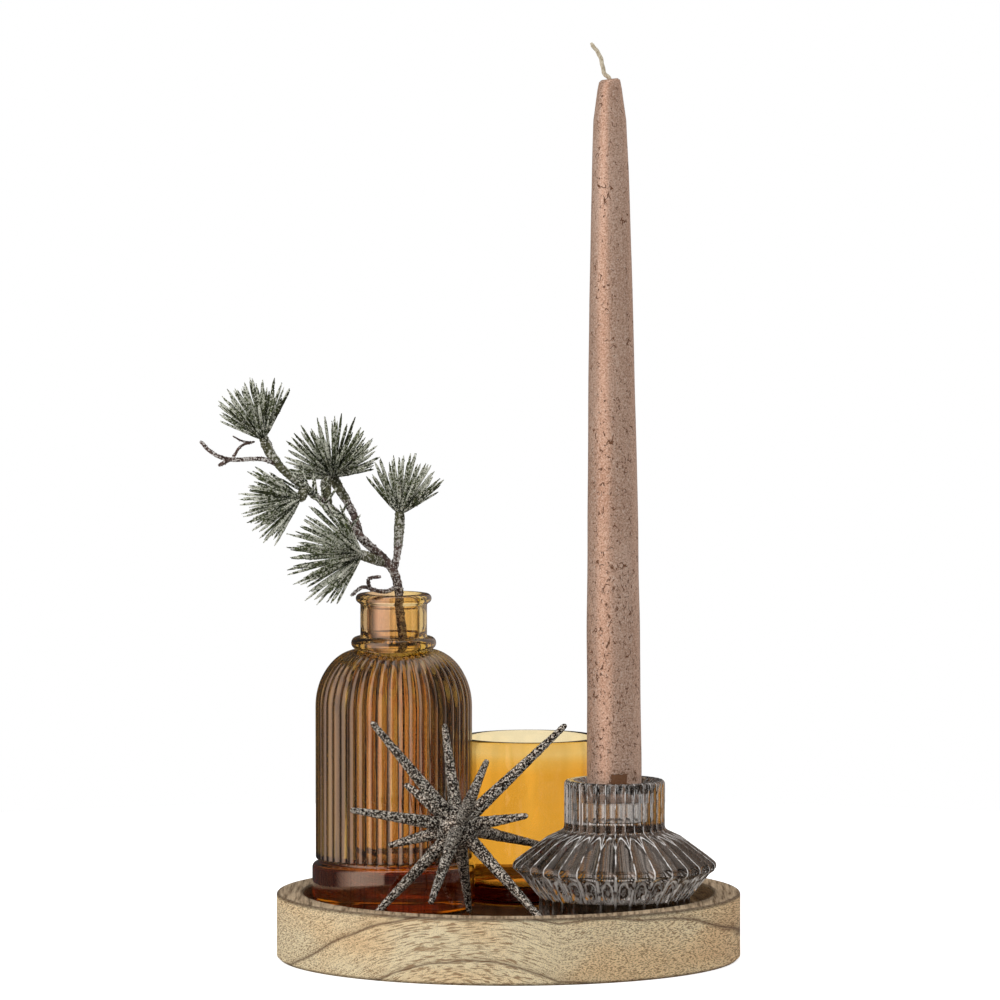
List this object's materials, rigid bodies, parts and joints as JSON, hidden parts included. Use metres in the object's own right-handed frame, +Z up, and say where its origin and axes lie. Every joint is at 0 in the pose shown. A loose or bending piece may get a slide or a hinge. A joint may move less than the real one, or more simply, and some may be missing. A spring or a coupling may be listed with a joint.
{
  "type": "candle tray",
  "caption": "Round wooden tray set with a fluted bottle and frosted pine branch, a glitter starburst, a votive glass, and a pressed glass holder with a tall taper candle.",
  "frame": {"origin": "centre of the tray's underside", "axes": "+Z up, -Y towards the side seen in the picture, +X to the right of that view"},
  "size_m": [0.2215, 0.19, 0.3748],
  "materials": {
    "wood": "bare light wood with a dark grain",
    "amber_glass": "glossy ribbed amber brown glass",
    "yellow_glass": "glossy yellow amber glass",
    "smoky_glass": "glossy pressed smoky glass",
    "glitter": "silver and graphite glitter",
    "bark": "brown stem with white frost",
    "needles": "dark green needles with white frost",
    "wax": "rose copper metallic lacquer over wax",
    "cotton": "braided cotton"
  },
  "bodies": {
    "tray": {"tray": "wood"},
    "bottle": {"bottle": "amber_glass"},
    "branch": {"branch_stem": "bark", "branch_shoot_upper": "bark", "branch_shoot_front": "bark", "branch_shoot_right": "bark", "branch_twig_left": "bark", "branch_tendril": "bark", "needle_sprig_left": "needles", "needle_sprig_upper": "needles", "needle_sprig_front": "needles", "needle_sprig_right": "needles"},
    "votive": {"votive_glass": "yellow_glass"},
    "holder": {"candle_holder": "smoky_glass"},
    "candle": {"candle": "wax", "wick": "cotton"},
    "star": {"star_hub": "glitter", "star_spike_01": "glitter", "star_spike_02": "glitter", "star_spike_03": "glitter", "star_spike_04": "glitter", "star_spike_05": "glitter", "star_spike_06": "glitter", "star_spike_07": "glitter", "star_spike_08": "glitter", "star_spike_09": "glitter", "star_spike_10": "glitter", "star_spike_11": "glitter", "star_spike_12": "glitter", "star_spike_13": "glitter", "star_spike_14": "glitter", "star_spike_15": "glitter"}
  },
  "joints": [
    {"name": "bottle_lift", "type": "slide", "parent": "tray", "child": "bottle", "axis": [0, 0, 1], "range_m": [0, 0.015]},
    {"name": "branch_lift", "type": "slide", "parent": "bottle", "child": "branch", "axis": [0, 0, 1], "range_m": [0, 0.13]},
    {"name": "votive_lift", "type": "slide", "parent": "tray", "child": "votive", "axis": [0, 0, 1], "range_m": [0, 0.015]},
    {"name": "holder_lift", "type": "slide", "parent": "tray", "child": "holder", "axis": [0, 0, 1], "range_m": [0, 0.015]},
    {"name": "candle_lift", "type": "slide", "parent": "holder", "child": "candle", "axis": [0, 0, 1], "range_m": [0, 0.02]},
    {"name": "star_lift", "type": "slide", "parent": "tray", "child": "star", "axis": [0, 0, 1], "range_m": [0, 0.015]}
  ]
}
